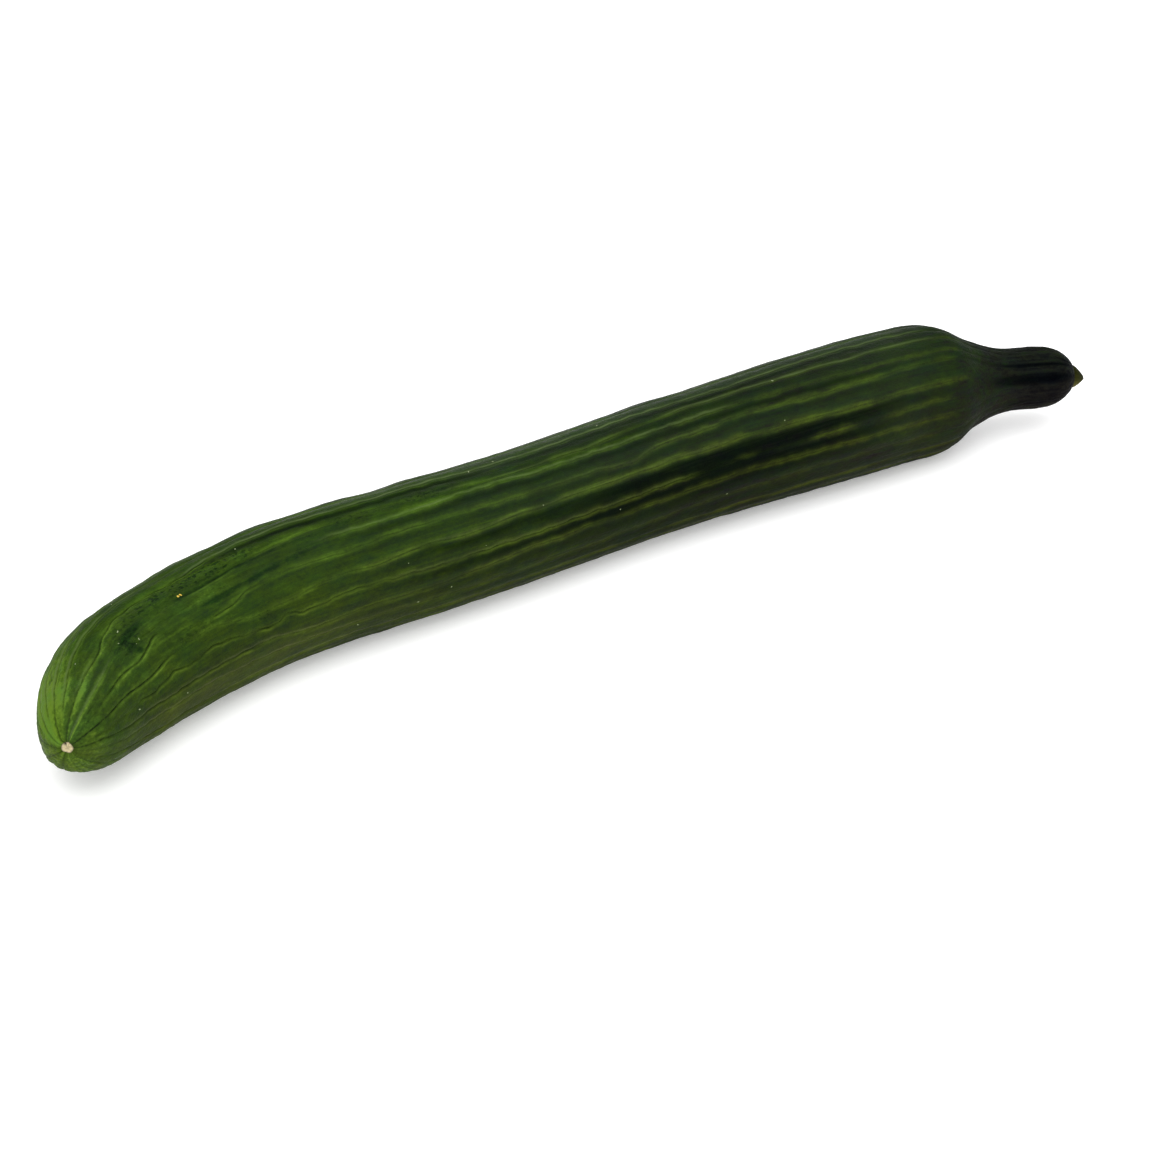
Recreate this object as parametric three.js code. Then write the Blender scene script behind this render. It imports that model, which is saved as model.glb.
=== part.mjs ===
// A whole long greenhouse cucumber, lying on its side. The body, the neck and the stub of the stem grew
// as one piece, so they are one solid. Millimetres and degrees, +Z up: the straight middle lies along X,
// the stem end points towards +X, the blossom end and the neck both bend towards -Y, and the underside
// rests on z = 0. The origin is under the middle of the bounding box.

import * as THREE from "three";

// The axis, from the blossom scar to the stem: distance along it, heading (0 is along +X, positive turns
// towards +Y), radius of the skin and height of the axis above the surface.
const STATIONS = [
  [0, 47, 17.5, 20.5],
  [20, 47.5, 16.9, 18.0],
  [45, 23, 18.5, 18.3],
  [75, 14, 19.2, 19.2],
  [110, 1, 19.8, 19.9],
  [150, -0.5, 19.8, 19.9],
  [200, 2.5, 19.9, 19.7],
  [250, -2.5, 20.5, 20.6],
  [300, -3, 21.7, 21.6],
  [325, -2, 21.8, 21.5],
  [345, -6, 20.5, 20.5],
  [357, -10, 15.0, 19.5],
  [370, -14, 10.9, 18.4],
  [385, -19, 10.3, 17.5],
  [404, -25.5, 9.2, 16.7],
];
const HEADING = 1;
const RADIUS = 2;
const HEIGHT = 3;
const AXIS_STEP = 0.5;

// Both ends round off: the blossom end as half an ellipse, the neck more squarely.
const BLOSSOM_CAP = 44;
const BLOSSOM_CAP_POWER = 2;
const NECK_CAP = 13.3;
const NECK_CAP_POWER = 2.4;
const NECK_TIP = 398.5;

// The blossom scar is a small corky disc, sunk between the ends of the ribs.
const SCAR_RADIUS = 1.8;
const SCAR_SUNK = 0.3;
const SCAR_RIM = 0.45;

// The stub left by the stem: [distance along the axis, radius, drop below it]. It tapers to a point that
// droops.
const STUB = [
  [397.4, 4.0, 0.3],
  [398.4, 3.75, 0.5],
  [399.6, 3.15, 0.8],
  [400.8, 2.3, 1.15],
  [401.8, 1.35, 1.4],
];
const STUB_TIP = 402.5;
const STUB_TIP_DROP = 1.6;

// Where each furrow between two ribs runs, in degrees round the axis from the top line over the -Y flank:
// near the blossom end, at the middle and at the shoulder. It wanders from there by a few degrees.
const FURROW_PLACES = [25, 160, 320];
const FURROWS = [
  [0, -1, 1],
  [20, 16, 16],
  [29, 28, 31],
  [39, 43, 41],
  [57, 60, 59],
  [73, 77, 74],
  [88, 93, 89],
  [103, 109, 105],
  [119, 124, 121],
  [135, 139, 137],
  [151, 155, 153],
  [167, 171, 169],
  [183, 187, 186],
  [200, 203, 202],
  [217, 219, 219],
  [234, 236, 236],
  [250, 252, 253],
  [267, 268, 270],
  [283, 285, 286],
  [297, 301, 303],
  [312, 316, 318],
  [327, 330, 332],
  [343, 344, 346],
];
const POINTS_PER_RIB = 4;
const WANDER = 1.2;
const WANDER_LENGTH = 70;
const PHASE_PER_FURROW = 2.4;

// How far a rib bulges between its furrows, and how deep the crease in a furrow is, along the axis. The
// bulge is a parabola, set so that its mean over a rib is zero. Each crease is deeper in some stretches.
const RIB_PLACES = [0, 8, 40, 120, 200, 320, 350, 375, 402];
const RIB_BULGE = [0, 0.3, 0.3, 0.35, 0.35, 0.4, 0.3, 0.15, 0.1];
const RIB_MEAN = 2 / 3;
const CREASE = [0.1, 0.35, 0.3, 0.25, 0.3, 0.35, 0.3, 0.15, 0.1];
const CREASE_SHARE = 0.75;
const CREASE_CHANGE = 0.4;
const CREASE_CHANGE_LENGTH = 26;

// Where the fruit is thinner than this radius, the relief fades with it.
const FULL_RELIEF_RADIUS = 8;

// Lumps (+) and dents (-) in the skin: place along the axis, degrees round it, half length, half width in
// degrees and height.
const LUMPS = [
  [16, -90, 10, 30, -0.5],
  [5, 215, 5, 35, 0.6],
  [39, 24, 6, 12, -0.35],
  [67, 38, 9, 6, -0.6],
  [80, 46, 8, 6, 0.35],
  [56, 46, 8, 6, 0.35],
  [71, -34, 6, 14, 0.4],
  [98, -30, 7, 14, 0.45],
  [124, -30, 7, 14, 0.4],
  [136, -24, 5, 12, -0.3],
  [149, -30, 7, 14, 0.35],
  [180, 24, 20, 7, 0.35],
  [237, -28, 9, 14, 0.35],
  [252, -24, 8, 12, -0.25],
  [50, 130, 8, 18, -0.4],
  [78, 130, 9, 18, 0.4],
  [118, 130, 12, 18, -0.3],
  [148, 130, 10, 18, 0.35],
  [188, 130, 12, 18, -0.25],
  [262, 190, 26, 30, -0.3],
];

// The rings of skin points along the axis, closer together where the outline turns.
const CAP_RINGS = [1, 2.2, 4, 6.8, 10.5, 15, 21, 28];
const BODY_RINGS = 30;
const BODY_FROM = 36.5;
const BODY_TO = 338;
const NECK_RINGS = [346, 352, 358, 364, 371, 379, 387, 392, 395.5, 397.2];

// Smooth curve through the points (xs, ys), with the slope at each point taken from its neighbours.
function smooth(xs, ys, x) {
  const last = xs.length - 1;
  const slope = (i) => (ys[i + 1] - ys[i]) / (xs[i + 1] - xs[i]);
  const tangent = (i) => {
    if (i === 0) return slope(0);
    if (i === last) return slope(last - 1);
    const before = xs[i] - xs[i - 1];
    const after = xs[i + 1] - xs[i];
    return (slope(i - 1) * after + slope(i) * before) / (before + after);
  };
  let i = 0;
  while (i < last - 1 && x > xs[i + 1]) i += 1;
  const span = xs[i + 1] - xs[i];
  const t = THREE.MathUtils.clamp((x - xs[i]) / span, 0, 1);
  const t2 = t * t;
  const t3 = t2 * t;
  const start = (2 * t3 - 3 * t2 + 1) * ys[i] + (t3 - 2 * t2 + t) * span * tangent(i);
  const end = (3 * t2 - 2 * t3) * ys[i + 1] + (t3 - t2) * span * tangent(i + 1);
  return start + end;
}

const stationPlaces = STATIONS.map((station) => station[0]);
const stationValue = (column, s) => smooth(stationPlaces, STATIONS.map((station) => station[column]), s);

// The axis as points AXIS_STEP apart, found by following the heading and the height.
function axisPoints() {
  const points = [];
  let x = 0;
  let y = 0;
  for (let s = 0; s <= stationPlaces.at(-1); s += AXIS_STEP) {
    const z = stationValue(HEIGHT, s);
    points.push(new THREE.Vector3(x, y, z));
    const climb = stationValue(HEIGHT, s + AXIS_STEP) - z;
    const run = Math.sqrt(AXIS_STEP ** 2 - climb ** 2);
    const heading = THREE.MathUtils.degToRad(stationValue(HEADING, s + AXIS_STEP / 2));
    x += run * Math.cos(heading);
    y += run * Math.sin(heading);
  }
  return points;
}

const AXIS = axisPoints();

// A point of the axis, with the directions "up" and "near" (towards -Y) that a section is drawn in.
function sectionAt(s) {
  const last = AXIS.length - 1;
  const place = s / AXIS_STEP;
  const i = Math.min(Math.floor(place), last - 1);
  const centre = AXIS[i].clone().lerp(AXIS[i + 1], place - i);
  const ahead = AXIS[Math.min(i + 2, last)].clone();
  const forward = ahead.sub(AXIS[Math.max(i - 1, 0)]).normalize();
  const near = new THREE.Vector3(forward.y, -forward.x, 0).normalize();
  const up = near.clone().cross(forward);
  return { centre, up, near };
}

// Radius of the smooth body, with its rounded ends.
function bodyRadius(s) {
  const blossom = Math.max(0, 1 - s / BLOSSOM_CAP) ** BLOSSOM_CAP_POWER;
  const neck = Math.max(0, 1 - (NECK_TIP - s) / NECK_CAP) ** NECK_CAP_POWER;
  return stationValue(RADIUS, s) * Math.sqrt(1 - blossom) * Math.sqrt(1 - neck);
}

// Where furrow k runs at a place along the axis, in degrees round it.
function furrowAngle(k, s) {
  const turn = 360 * Math.floor(k / FURROWS.length);
  const row = k % FURROWS.length;
  const held = THREE.MathUtils.clamp(s, FURROW_PLACES[0], FURROW_PLACES[2]);
  const wander = WANDER * Math.sin((2 * Math.PI * s) / WANDER_LENGTH + PHASE_PER_FURROW * row);
  return turn + smooth(FURROW_PLACES, FURROWS[row], held) + wander;
}

// Height of the lumps and dents at a place on the skin.
function lumps(s, degrees) {
  let height = 0;
  for (const [place, around, halfLength, halfWidth, peak] of LUMPS) {
    const aside = THREE.MathUtils.euclideanModulo(degrees - around + 180, 360) - 180;
    height += peak * Math.exp(-(((s - place) / halfLength) ** 2) - (aside / halfWidth) ** 2);
  }
  return height;
}

// Relief of the skin: ribs that bulge between creased furrows, with some furrows deeper than others.
function relief(s, k, share, degrees, radius) {
  const fade = Math.min(1, radius / FULL_RELIEF_RADIUS);
  const bulge = smooth(RIB_PLACES, RIB_BULGE, s) * (4 * share * (1 - share) - RIB_MEAN);
  const change = CREASE_CHANGE * Math.sin(PHASE_PER_FURROW * k + s / CREASE_CHANGE_LENGTH);
  const crease = share === 0 ? smooth(RIB_PLACES, CREASE, s) * (CREASE_SHARE + change) : 0;
  return fade * (bulge - crease + lumps(s, degrees));
}

// A closed ring of points round the axis, as deep in the relief as its share says.
function ring(s, radius, reliefShare) {
  const { centre, up, near } = sectionAt(s);
  const points = [];
  for (let k = 0; k < FURROWS.length; k += 1) {
    const here = furrowAngle(k, s);
    const next = furrowAngle(k + 1, s);
    for (let j = 0; j < POINTS_PER_RIB; j += 1) {
      const share = j / POINTS_PER_RIB;
      const degrees = here + share * (next - here);
      const around = THREE.MathUtils.degToRad(degrees);
      const out = radius + reliefShare * relief(s, k, share, degrees, radius);
      const point = centre.clone();
      point.addScaledVector(up, out * Math.cos(around)).addScaledVector(near, out * Math.sin(around));
      point.z = Math.max(0, point.z); // the weight rests on small flat spots of the underside
      points.push(point);
    }
  }
  return points;
}

// A point moved down across the axis.
function dropped(point, s, drop) {
  return point.addScaledVector(sectionAt(s).up, -drop);
}

// All rings from the scar to the tip of the stub.
function rings() {
  const body = Array.from({ length: BODY_RINGS }, (_, i) => {
    return BODY_FROM + ((BODY_TO - BODY_FROM) * i) / (BODY_RINGS - 1);
  });
  const scar = ring(SCAR_RIM + SCAR_SUNK, SCAR_RADIUS, 0);
  const skin = [SCAR_RIM, ...CAP_RINGS, ...body, ...NECK_RINGS].map((s) => ring(s, bodyRadius(s), 1));
  const stub = STUB.map(([s, radius, drop]) => ring(s, radius, 0).map((point) => dropped(point, s, drop)));
  return [scar, ...skin, ...stub];
}

// Skins the rings over and closes both ends with a point on the axis.
function skinOver(loops, startPoint, endPoint) {
  const around = loops[0].length;
  const points = [startPoint, ...loops.flat(), endPoint];
  const faces = [];
  const at = (i, j) => 1 + i * around + (j % around);
  for (let j = 0; j < around; j += 1) {
    faces.push(0, at(0, j + 1), at(0, j));
    for (let i = 0; i + 1 < loops.length; i += 1) {
      faces.push(at(i, j), at(i + 1, j + 1), at(i + 1, j));
      faces.push(at(i, j), at(i, j + 1), at(i + 1, j + 1));
    }
    faces.push(at(loops.length - 1, j), at(loops.length - 1, j + 1), points.length - 1);
  }
  const geometry = new THREE.BufferGeometry().setFromPoints(points);
  geometry.setIndex(faces);
  return geometry;
}

function cucumber() {
  const scarCentre = sectionAt(SCAR_RIM + SCAR_SUNK).centre;
  const stubPoint = dropped(sectionAt(STUB_TIP).centre, STUB_TIP, STUB_TIP_DROP);
  const geometry = skinOver(rings(), scarCentre, stubPoint);
  geometry.computeBoundingBox();
  const middle = geometry.boundingBox.getCenter(new THREE.Vector3());
  geometry.translate(-middle.x, -middle.y, -geometry.boundingBox.min.z);
  geometry.computeVertexNormals();
  const skin = new THREE.MeshStandardMaterial({ color: 0x2c4f1c, roughness: 0.45, metalness: 0 });
  const mesh = new THREE.Mesh(geometry, skin);
  mesh.name = "cucumber";
  return mesh;
}

const group = new THREE.Group();
group.add(cucumber());

export default group;
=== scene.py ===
"""The looks of a whole long greenhouse cucumber that lies on its side.

Its waxy dark green skin has ribs between creased furrows, with broken pale streaks along the furrows. A corky
scar closes the blossom end, and the cut stub of the stem closes the neck. Places on the skin are given as the
distance along the fruit from the blossom scar, and as degrees round it from the top line over the -Y flank.
Lengths are in millimetres, and MM turns them into the frame's metres.
"""

import math

import bpy
import numpy as np
from mathutils import Matrix, Vector


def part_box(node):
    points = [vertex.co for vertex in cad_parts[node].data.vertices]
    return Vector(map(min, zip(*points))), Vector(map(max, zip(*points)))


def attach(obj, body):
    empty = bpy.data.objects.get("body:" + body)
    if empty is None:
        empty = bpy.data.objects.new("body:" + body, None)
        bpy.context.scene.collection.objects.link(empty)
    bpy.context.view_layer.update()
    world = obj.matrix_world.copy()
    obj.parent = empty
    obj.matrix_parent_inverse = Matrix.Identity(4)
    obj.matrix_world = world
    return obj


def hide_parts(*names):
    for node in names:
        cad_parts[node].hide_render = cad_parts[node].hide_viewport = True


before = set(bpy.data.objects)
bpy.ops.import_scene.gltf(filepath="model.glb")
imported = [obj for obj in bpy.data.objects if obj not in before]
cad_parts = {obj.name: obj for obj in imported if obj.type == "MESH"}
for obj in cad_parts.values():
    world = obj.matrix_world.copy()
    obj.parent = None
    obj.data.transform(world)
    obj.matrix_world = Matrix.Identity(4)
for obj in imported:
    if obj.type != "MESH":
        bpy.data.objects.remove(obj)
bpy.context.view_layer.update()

MM = 0.001
FULL_TURN = 360.0

# The axis, from the blossom scar to the stem: distance along it, heading (0 is along +X, positive turns
# towards +Y), radius of the skin and height of the axis above the surface.
STATIONS = np.array([
    (0, 47, 17.5, 20.5), (20, 47.5, 16.9, 18.0), (45, 23, 18.5, 18.3),
    (75, 14, 19.2, 19.2), (110, 1, 19.8, 19.9), (150, -0.5, 19.8, 19.9),
    (200, 2.5, 19.9, 19.7), (250, -2.5, 20.5, 20.6), (300, -3, 21.7, 21.6),
    (325, -2, 21.8, 21.5), (345, -6, 20.5, 20.5), (357, -10, 15.0, 19.5),
    (370, -14, 10.9, 18.4), (385, -19, 10.3, 17.5), (404, -25.5, 9.2, 16.7),
])
HEADING, RADIUS, HEIGHT = 1, 2, 3
# The axis is worked out in steps of this length.
AXIS_STEP = 0.5

# Both ends round off over a length: the blossom end as half an ellipse, the neck more squarely, towards a tip
# inside the stub.
BLOSSOM_CAP = 44
BLOSSOM_CAP_POWER = 2
NECK_CAP = 13.3
NECK_CAP_POWER = 2.4
NECK_TIP = 398.5

# The blossom scar, a corky disc between the ends of the ribs: the radii of its rings from the rim in, where
# its rim is, and how far its face is sunk and how rough it is.
SCAR_RINGS = (1.54, 1.36, 1.12, 0.75, 0.36)
SCAR_RIM = 0.45
SCAR_SUNK = 0.3
SCAR_ROUGHNESS = 0.07
SCAR_SEED = 15
# Its uneven outline, a sum of waves round it: their number, size and phase.
SCAR_OUTLINE = ((3, 0.05, 1.0), (5, 0.04, 0.2), (2, 0.05, -1.6))
# A dark notch in it: middle and half width in degrees, depth and share on each ring. Then how dark each ring
# is elsewhere.
SCAR_NOTCH = 330
SCAR_NOTCH_WIDTH = 27
SCAR_NOTCH_DEPTH = 0.5
SCAR_NOTCH_SHARES = (1.0, 1.0, 1.0, 0.5, 0.0)
SCAR_DARKNESS = (1.0, 0.5, 0.1, 0.0, 0.0)

# The stub left by the stem tapers to a point that droops: distance along the axis, radius and drop below it.
# A slanting cut takes some of its underside off: the place on the axis that the cut passes through, and its
# facing as forward, downward and nearward.
STUB = (
    (397.4, 4.0, 0.3), (398.0, 3.9, 0.4), (398.6, 3.7, 0.55), (399.3, 3.35, 0.7), (400.0, 2.85, 0.9),
    (400.7, 2.3, 1.1), (401.3, 1.75, 1.25), (401.9, 1.2, 1.4),
)
STUB_TIP = 402.5
STUB_TIP_DROP = 1.6
CUT_PLACE = 402.3
CUT_FACING = (0.56, 0.76, 0.33)

# Where each furrow between two ribs runs: (distance, degrees) points. Those of the lower and the far side
# run more plainly, through these degrees at three places.
FAR_PLACES = (0, 160, 320)
FAR_DEGREES = (
    (119, 124, 121), (135, 139, 137), (151, 155, 153), (167, 171, 169), (183, 187, 186), (200, 203, 202),
    (217, 219, 219), (234, 236, 236), (250, 252, 253), (267, 268, 270), (283, 285, 286), (297, 301, 303),
    (312, 316, 318), (327, 330, 332), (343, 344, 346),
)
FURROWS = (
    ((0, 0), (19, 3), (27, 7), (31, 3), (40, -1), (52, -2), (60, 0), (70, -1), (80, -4), (100, -4),
     (125, -1), (145, -3), (165, 0), (230, 0), (255, 2), (300, 0), (330, 2)),
    ((0, 22), (18, 22), (40, 21), (62, 21), (80, 20), (95, 16), (110, 14), (130, 13), (150, 16), (165, 19),
     (200, 19), (217, 17), (232, 14), (300, 15), (330, 16)),
    ((0, 29), (60, 30), (95, 29), (107, 28), (140, 27.5), (160, 25), (180, 26.5), (210, 27), (256, 26),
     (285, 28), (320, 31)),
    ((0, 38), (22, 38), (35, 42), (44, 36), (51, 44), (60, 48), (72, 48), (80, 43), (95, 42.5), (118, 44),
     (125, 42.5), (180, 43), (203, 44), (215, 47), (223, 42.5), (250, 39), (258, 37), (275, 40), (330, 40)),
    ((0, 54), (18, 56), (28, 59), (45, 58), (62, 56), (76, 65), (87, 65.5), (107, 62), (113, 60.5), (125, 63),
     (141, 58), (146, 60), (168, 58), (180, 57), (225, 57), (260, 57), (300, 60), (330, 60)),
    ((0, 72), (22, 72), (31, 74), (43, 70), (51, 73), (60, 70), (73, 75.5), (86, 78), (89, 75.5), (95, 79),
     (112, 76), (125, 77.5), (145, 78.5), (175, 77), (237, 75), (258, 73), (280, 75), (330, 74)),
    ((0, 84), (20, 87), (45, 88), (80, 90), (100, 97), (118, 95), (140, 96), (160, 92), (175, 89), (230, 88),
     (255, 86), (285, 88), (330, 89)),
    ((0, 99), (12, 100), (60, 101), (80, 105), (105, 108), (130, 108), (160, 110), (190, 108), (225, 106),
     (250, 104), (285, 103), (330, 104)),
    *(tuple(zip(FAR_PLACES, degrees)) for degrees in FAR_DEGREES),
)
RIBS = len(FURROWS)

# Every furrow also has small kinks, a sum of this many zigzags: the range of their lengths and their size in
# degrees.
KINKS = 5
KINK_LENGTHS = (4.5, 34)
KINK_SIZE = 0.8
KINK_SEED = 20

# The marks in a furrow change in strength along it, by a sum of this many waves: the range of their lengths,
# the mean share of the strength, its sway and the seed.
CHANGES = 4
SEAM_CHANGES = ((5, 30), 0.8, 0.4, 17)
STREAK_CHANGES = ((5, 26), 0.9, 0.2, 14)
PAINTED_SHEEN_CHANGES = ((5, 26), 0.9, 0.2, 18)
# They are unbroken up to this distance, and less so over the next length.
STEADY_UP_TO = 22
STEADY_FADE = 25

# Columns of the skin mesh across a rib, as shares of its width. They crowd at the creases.
COLUMNS = (0, 0.025, 0.06, 0.105, 0.16, 0.24, 0.35, 0.5, 0.65, 0.76, 0.84, 0.895, 0.94, 0.975)
# Rings of the skin mesh: single ones next to the scar, then runs of (from, to, spacing), closer where the
# skin has most detail.
CAP_RINGS = (0.6, 0.8, 1.1, 1.5, 2.0, 2.6, 3.3)
RING_RUNS = ((4, 100, 0.95), (100, 190, 1.35), (190, 345, 2.0), (345, 397.2, 1.7))

# How far a rib bulges between its furrows, and how deep the crease in a furrow is. The bulge is a parabola,
# set so that its mean over a rib is zero.
RIB_PLACES = (0, 8, 40, 120, 200, 320, 350, 375, 402)
RIB_BULGE = (0.02, 0.12, 0.24, 0.3, 0.3, 0.35, 0.25, 0.08, 0.04)
RIB_MEAN = 2 / 3
CREASE = (0.08, 0.15, 0.2, 0.12, 0.15, 0.2, 0.15, 0.05, 0.03)
# A crease has this share of its depth, more or less by stretches, and fades over this width to each side.
CREASE_SHARE = 0.75
CREASE_CHANGE = 0.4
CREASE_CHANGE_LENGTH = 26
PHASE_PER_FURROW = 2.4
CREASE_WIDTH = 0.7
# A seam is a slit along the bottom of a crease: its half width at these places, and its depth.
SLIT_PLACES = (0, 45, 95, 402)
SLIT_WIDTH = (0.28, 0.25, 0.17, 0.17)
SLIT_DEPTH = 0.2

# Where the fruit is thinner than these radii, the relief fades, and the slits and the streaks narrow.
FULL_RELIEF_RADIUS = 8
FULL_SLIT_RADIUS = 5
FULL_STREAK_RADIUS = 19

# The finest unevenness, each a sum of this many waves: height, range of lengths along the fruit, range of
# waves round it and seed. The wrinkles show only where the skin is pitted.
WAVES = 40
SWELLS = (0.07, (5, 30), (3, 46), 11)
PEBBLES = (0.03, (2.5, 8.0), (24, 80), 12)
WRINKLES = (0.14, (2.0, 6.0), (30, 90), 13)

# Lumps (+) and dents (-) in the skin: place along the axis, degrees round it, half length, half width in
# degrees and height.
LUMPS = (
    (5, 215, 5, 35, 0.6), (16, -90, 10, 30, -0.5), (39, 24, 6, 12, -0.35), (50, 130, 8, 18, -0.4),
    (56, 46, 8, 6, 0.35), (67, 38, 9, 6, -0.6), (71, -34, 6, 14, 0.4), (78, 130, 9, 18, 0.4),
    (80, 46, 8, 6, 0.35), (98, -30, 7, 14, 0.45), (118, 130, 12, 18, -0.3), (124, -30, 7, 14, 0.4),
    (136, -24, 5, 12, -0.3), (148, 130, 10, 18, 0.35), (149, -30, 7, 14, 0.35), (180, 24, 20, 7, 0.35),
    (188, 130, 12, 18, -0.25), (237, -28, 9, 14, 0.35), (252, -24, 8, 12, -0.25), (262, 190, 26, 30, -0.3),
)

# Past some furrows the rib starts with a shallow valley whose colour is darkened, partly a darker green and
# partly painted shade: furrow, from, to and strength.
LEDGES = (
    (0, 70, 190, 1.5), (0, 150, 345, 1.0), (1, 150, 340, 0.4), (2, 96, 335, 1.0), (3, 96, 335, 0.55),
    (4, 110, 338, 1.0), (5, 110, 320, 0.9), (6, 90, 330, 0.4), (7, 90, 330, 0.1), (8, 60, 330, 0.1),
    (9, 90, 320, 0.3), (10, 50, 330, 0.4), (11, 80, 330, 0.6), (12, 70, 340, 0.5), (13, 90, 320, 0.4),
    (14, 60, 330, 0.6), (15, 90, 335, 0.5), (16, 70, 330, 0.4), (17, 60, 320, 0.6), (18, 80, 330, 0.5),
    (19, 90, 335, 0.4), (20, 70, 330, 0.5), (21, 90, 335, 0.4),
)
# Its fade at both ends, the distance of its middle from the furrow, its half width, its depth, and how much
# darker its colour is made, partly as painted shade.
LEDGE_END = 40
LEDGE_PLACE = 2.1
LEDGE_WIDTH = 1.25
LEDGE_DEPTH = 0.36
LEDGE_DARKER_AND_PAINTED_SHADE = 0.5

# Pale streaks along the furrows: furrow, from, to and strength.
STREAKS = (
    (0, 12, 29, 0.8), (0, 29, 70, 0.5), (0, 76, 345, 0.15),
    (1, -6, 24, 1.0), (1, 84, 352, 0.4), (1, 84, 118, 0.6), (1, 126, 140, 0.45), (1, 155, 182, 0.65),
    (1, 184, 222, 0.75), (1, 228, 300, 0.65), (1, 300, 356, 0.35),
    (2, 106, 350, 0.3), (2, 106, 158, 0.65), (2, 158, 229, 0.7), (2, 230, 257, 0.7), (2, 262, 286, 0.5),
    (2, 296, 350, 0.45),
    (3, 12, 46, 0.7), (3, 49, 58, 0.7), (3, 62, 345, 0.4), (3, 62, 85, 0.7), (3, 92, 119, 0.85),
    (3, 121, 151, 0.75), (3, 153, 181, 0.8), (3, 200, 216, 0.85), (3, 217, 254, 0.8), (3, 257, 318, 0.8),
    (3, 322, 345, 0.35),
    (4, 4, 44, 0.6), (4, 52, 346, 0.4), (4, 52, 72, 0.5), (4, 75, 108, 0.6), (4, 112, 142, 0.95),
    (4, 143, 180, 0.95), (4, 181, 262, 1.0), (4, 262, 310, 0.9), (4, 308, 348, 0.65),
    (5, 10, 52, 0.35), (5, 53, 240, 0.4), (5, 53, 87, 0.5), (5, 88, 121, 0.7), (5, 122, 147, 0.75),
    (5, 150, 238, 0.8), (5, 240, 340, 0.05), (5, 250, 262, 0.7), (5, 277, 300, 0.8), (5, 305, 340, 0.45),
    (6, 4, 70, 0.3), (6, 72, 340, 0.3), (6, 72, 142, 0.45), (6, 146, 200, 0.75), (6, 202, 340, 0.6),
    (7, 10, 70, 0.3), (7, 74, 335, 0.25), (7, 74, 145, 0.4), (7, 147, 236, 0.3), (7, 240, 335, 0.25),
    (19, 4, 40, 0.7),
    (20, 4, 60, 0.6),
    (21, 5, 44, 0.7),
    (22, 6, 48, 0.55), (22, 60, 340, 0.2), (22, 84, 150, 0.45), (22, 162, 228, 0.4), (22, 240, 330, 0.45),
)
# Their fade at both ends, half width before and past the furrow, and the share of it in the faintest.
STREAK_END = 8.0
STREAK_WIDTH_BEFORE = 1.2
STREAK_WIDTH_PAST = 0.8
FAINTEST_WIDTH = 0.5
# The half width of the line along a streak, and how much darker it is.
STREAK_LINE = 0.24
STREAK_LINE_DARKER = 0.5

# The furrows of the lower and the far side have streaks by a rule: a faint one all along, and stronger ones
# with their start, lengths, gaps and strengths drawn from these ranges.
FAR_FURROWS = range(8, 22)
FAR_FROM = (30, 70)
FAR_RUN = (26, 110)
FAR_GAP = (3, 14)
FAR_STRENGTH = (0.55, 0.9)
FAR_FAINT = 0.35
FAR_END = 348
FAR_SEED = 14

# Thin dark seams in the furrows: furrow, from, to and strength.
SEAMS = (
    (0, -3, 24, 0.75), (0, 20, 78, 1.0), (0, 80, 345, 0.4), (1, 60, 100, 0.5), (1, 190, 216, 0.5),
    (2, 4, 10, 0.6), (3, -3, 22, 0.35), (3, 13, 46, 1.0), (3, 63, 84, 0.8), (3, 95, 148, 0.35),
    (4, -3, 46, 1.3), (4, 113, 142, 0.5), (4, 144, 172, 0.4), (4, 183, 212, 0.4), (5, -3, 28, 0.3),
    (5, 21, 75, 0.8), (5, 76, 122, 0.75), (5, 124, 146, 0.5), (5, 152, 237, 0.6), (6, -3, 75, 0.8),
    (6, 90, 165, 0.3), (6, 170, 290, 0.25), (7, -3, 60, 0.4), (8, 4, 40, 0.6), (9, -3, 40, 0.6),
    (10, 4, 40, 0.6), (11, -3, 30, 0.6), (12, 4, 34, 0.6), (13, -3, 30, 0.6), (14, 4, 34, 0.6),
    (15, -3, 30, 0.6), (16, 4, 34, 0.6), (17, -3, 30, 0.6), (18, 4, 30, 0.6), (19, -3, 42, 0.7),
    (20, 4, 42, 0.7), (21, -3, 46, 0.7), (22, 4, 50, 0.7),
)
# Their fade at both ends.
SEAM_END = 3

# A seam has a paler lip past it: its distance and half width. It shows where the fruit is thicker than this
# radius, and more the thicker it is, up to this strength.
LIP_PLACE = 0.6
LIP_WIDTH = 0.3
LIP_RADIUS = 10
LIP_STRENGTH = 0.8

# Thin pale lines of painted sheen, highlights painted on the edge of the rib before a furrow: furrow, from,
# to and strength.
PAINTED_SHEEN_LINES = (
    (0, 4, 30, 0.4), (0, 60, 245, 0.95), (0, 225, 342, 0.65), (1, -14, 32, 0.45), (1, 140, 225, 0.25),
    (1, 228, 344, 0.55), (2, 104, 262, 0.55), (3, 180, 260, 0.15), (4, 130, 260, 0.15), (5, 120, 240, 0.15),
    (6, 8, 110, 0.35), (7, 10, 120, 0.4), (8, 10, 140, 0.4), (10, 40, 340, 0.4), (13, 60, 330, 0.4),
    (16, 40, 330, 0.4), (19, 60, 340, 0.4), (20, 4, 60, 0.6), (21, 4, 60, 0.8), (22, 4, 70, 0.7),
)
# Their fade at both ends, their distance from the furrow and their half width.
PAINTED_SHEEN_END = 15
PAINTED_SHEEN_PLACE = 0.5
PAINTED_SHEEN_WIDTH = 0.3

# How much wider the streaks and the painted sheen lines are at these places.
WIDENING_PLACES = (0, 190, 280, 402)
WIDENING = (1, 1, 1.15, 1.15)

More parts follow.
